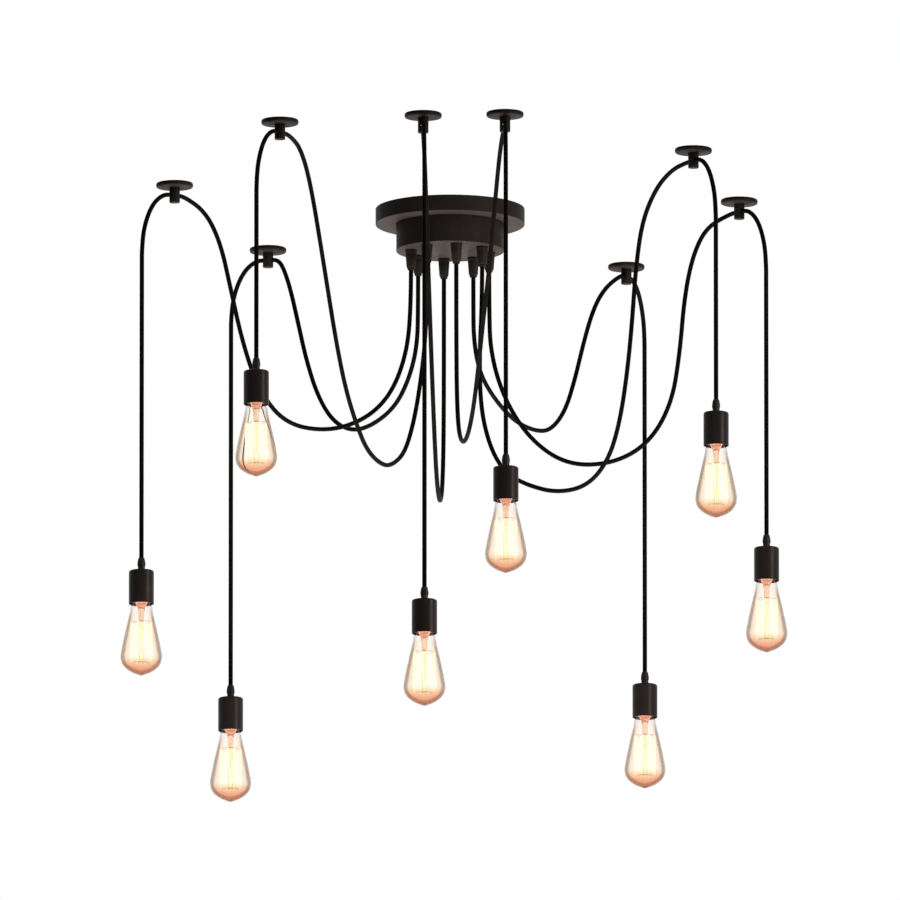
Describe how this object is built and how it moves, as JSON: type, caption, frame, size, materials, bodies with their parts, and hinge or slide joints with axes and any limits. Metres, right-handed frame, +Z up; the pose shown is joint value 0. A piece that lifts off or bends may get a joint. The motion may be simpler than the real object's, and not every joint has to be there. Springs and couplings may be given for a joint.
{
  "type": "swag chandelier",
  "caption": "Ceiling light with a stepped round canopy; swagged cords run through ceiling hooks to bare pear-shaped filament bulbs in plain tube sockets.",
  "frame": {"origin": "centre of the canopy on the ceiling plane, between the bracket's two screw holes", "axes": "+Z up into the ceiling, +Y away from the camera of the picture, +X to its right"},
  "size_m": [1.041, 1.3854, 0.9451],
  "materials": {
    "canopy_paint": "satin black",
    "hook_paint": "satin black",
    "socket_paint": "satin black",
    "zinc_steel": "zinc plated",
    "screw_steel": "blackened",
    "terminal_plastic": "matte",
    "gland_plastic": "satin",
    "cord_sleeve": "matte",
    "lampholder_black": "satin",
    "bulb_glass": "clear, amber tinted",
    "bulb_metal": "bright"
  },
  "bodies": {
    "root": {"canopy_pan": "canopy_paint", "canopy_tier": "canopy_paint", "ceiling_bracket": "zinc_steel", "canopy_fixing_screw": "screw_steel", "terminal_block": "terminal_plastic", "cord_glands": "gland_plastic", "gland_nuts": "gland_plastic", "hook_plates": "hook_paint", "hook_stems": "hook_paint", "hook_set_screws": "screw_steel", "swag_cord_1": "cord_sleeve", "swag_cord_2": "cord_sleeve", "swag_cord_3": "cord_sleeve", "swag_cord_4": "cord_sleeve", "swag_cord_5": "cord_sleeve", "swag_cord_6": "cord_sleeve", "swag_cord_7": "cord_sleeve", "swag_cord_8": "cord_sleeve"},
    "lamp_1": {"drop_cord_1": "cord_sleeve", "socket_cover_1": "socket_paint", "lampholder_1": "lampholder_black"},
    "bulb_1": {"bulb_glass_1": "bulb_glass", "bulb_core_1": "bulb_metal"},
    "lamp_2": {"drop_cord_2": "cord_sleeve", "socket_cover_2": "socket_paint", "lampholder_2": "lampholder_black"},
    "bulb_2": {"bulb_glass_2": "bulb_glass", "bulb_core_2": "bulb_metal"},
    "lamp_3": {"drop_cord_3": "cord_sleeve", "socket_cover_3": "socket_paint", "lampholder_3": "lampholder_black"},
    "bulb_3": {"bulb_glass_3": "bulb_glass", "bulb_core_3": "bulb_metal"},
    "lamp_4": {"drop_cord_4": "cord_sleeve", "socket_cover_4": "socket_paint", "lampholder_4": "lampholder_black"},
    "bulb_4": {"bulb_glass_4": "bulb_glass", "bulb_core_4": "bulb_metal"},
    "lamp_5": {"drop_cord_5": "cord_sleeve", "socket_cover_5": "socket_paint", "lampholder_5": "lampholder_black"},
    "bulb_5": {"bulb_glass_5": "bulb_glass", "bulb_core_5": "bulb_metal"},
    "lamp_6": {"drop_cord_6": "cord_sleeve", "socket_cover_6": "socket_paint", "lampholder_6": "lampholder_black"},
    "bulb_6": {"bulb_glass_6": "bulb_glass", "bulb_core_6": "bulb_metal"},
    "lamp_7": {"drop_cord_7": "cord_sleeve", "socket_cover_7": "socket_paint", "lampholder_7": "lampholder_black"},
    "bulb_7": {"bulb_glass_7": "bulb_glass", "bulb_core_7": "bulb_metal"},
    "lamp_8": {"drop_cord_8": "cord_sleeve", "socket_cover_8": "socket_paint", "lampholder_8": "lampholder_black"},
    "bulb_8": {"bulb_glass_8": "bulb_glass", "bulb_core_8": "bulb_metal"}
  },
  "joints": [
    {"name": "lamp_1_swing", "type": "hinge", "parent": "root", "child": "lamp_1", "pos_m": [-0.03961, -0.81301, -0.1194], "axis": [0.9994, 0.0349, 0], "range_deg": [-10, 10]},
    {"name": "lamp_2_swing", "type": "hinge", "parent": "root", "child": "lamp_2", "pos_m": [0.08614, -0.82126, -0.1194], "axis": [0.9998, 0.0192, 0], "range_deg": [-10, 10]},
    {"name": "lamp_3_swing", "type": "hinge", "parent": "root", "child": "lamp_3", "pos_m": [-0.2999, -0.75002, -0.1194], "axis": [0.7997, -0.6004, 0], "range_deg": [-10, 10]},
    {"name": "lamp_4_swing", "type": "hinge", "parent": "root", "child": "lamp_4", "pos_m": [0.41306, -0.52756, -0.1194], "axis": [0.8192, 0.5736, 0], "range_deg": [-10, 10]},
    {"name": "lamp_5_swing", "type": "hinge", "parent": "root", "child": "lamp_5", "pos_m": [-0.4814, -0.23691, -0.1194], "axis": [0.5329, -0.8462, 0], "range_deg": [-10, 10]},
    {"name": "lamp_6_swing", "type": "hinge", "parent": "root", "child": "lamp_6", "pos_m": [0.49456, -0.11741, -0.1194], "axis": [0.7206, 0.6934, 0], "range_deg": [-10, 10]},
    {"name": "lamp_7_swing", "type": "hinge", "parent": "root", "child": "lamp_7", "pos_m": [-0.34532, 0.32769, -0.1194], "axis": [-0.2385, -0.9711, 0], "range_deg": [-10, 10]},
    {"name": "lamp_8_swing", "type": "hinge", "parent": "root", "child": "lamp_8", "pos_m": [0.30738, 0.50082, -0.1194], "axis": [-0.8755, 0.4833, 0], "range_deg": [-10, 10]},
    {"name": "bulb_1_unscrew", "type": "slide", "parent": "lamp_1", "child": "bulb_1", "axis": [0, 0, -1], "range_m": [0, 0.03]},
    {"name": "bulb_2_unscrew", "type": "slide", "parent": "lamp_2", "child": "bulb_2", "axis": [0, 0, -1], "range_m": [0, 0.03]},
    {"name": "bulb_3_unscrew", "type": "slide", "parent": "lamp_3", "child": "bulb_3", "axis": [0, 0, -1], "range_m": [0, 0.03]},
    {"name": "bulb_4_unscrew", "type": "slide", "parent": "lamp_4", "child": "bulb_4", "axis": [0, 0, -1], "range_m": [0, 0.03]},
    {"name": "bulb_5_unscrew", "type": "slide", "parent": "lamp_5", "child": "bulb_5", "axis": [0, 0, -1], "range_m": [0, 0.03]},
    {"name": "bulb_6_unscrew", "type": "slide", "parent": "lamp_6", "child": "bulb_6", "axis": [0, 0, -1], "range_m": [0, 0.03]},
    {"name": "bulb_7_unscrew", "type": "slide", "parent": "lamp_7", "child": "bulb_7", "axis": [0, 0, -1], "range_m": [0, 0.03]},
    {"name": "bulb_8_unscrew", "type": "slide", "parent": "lamp_8", "child": "bulb_8", "axis": [0, 0, -1], "range_m": [0, 0.03]}
  ]
}
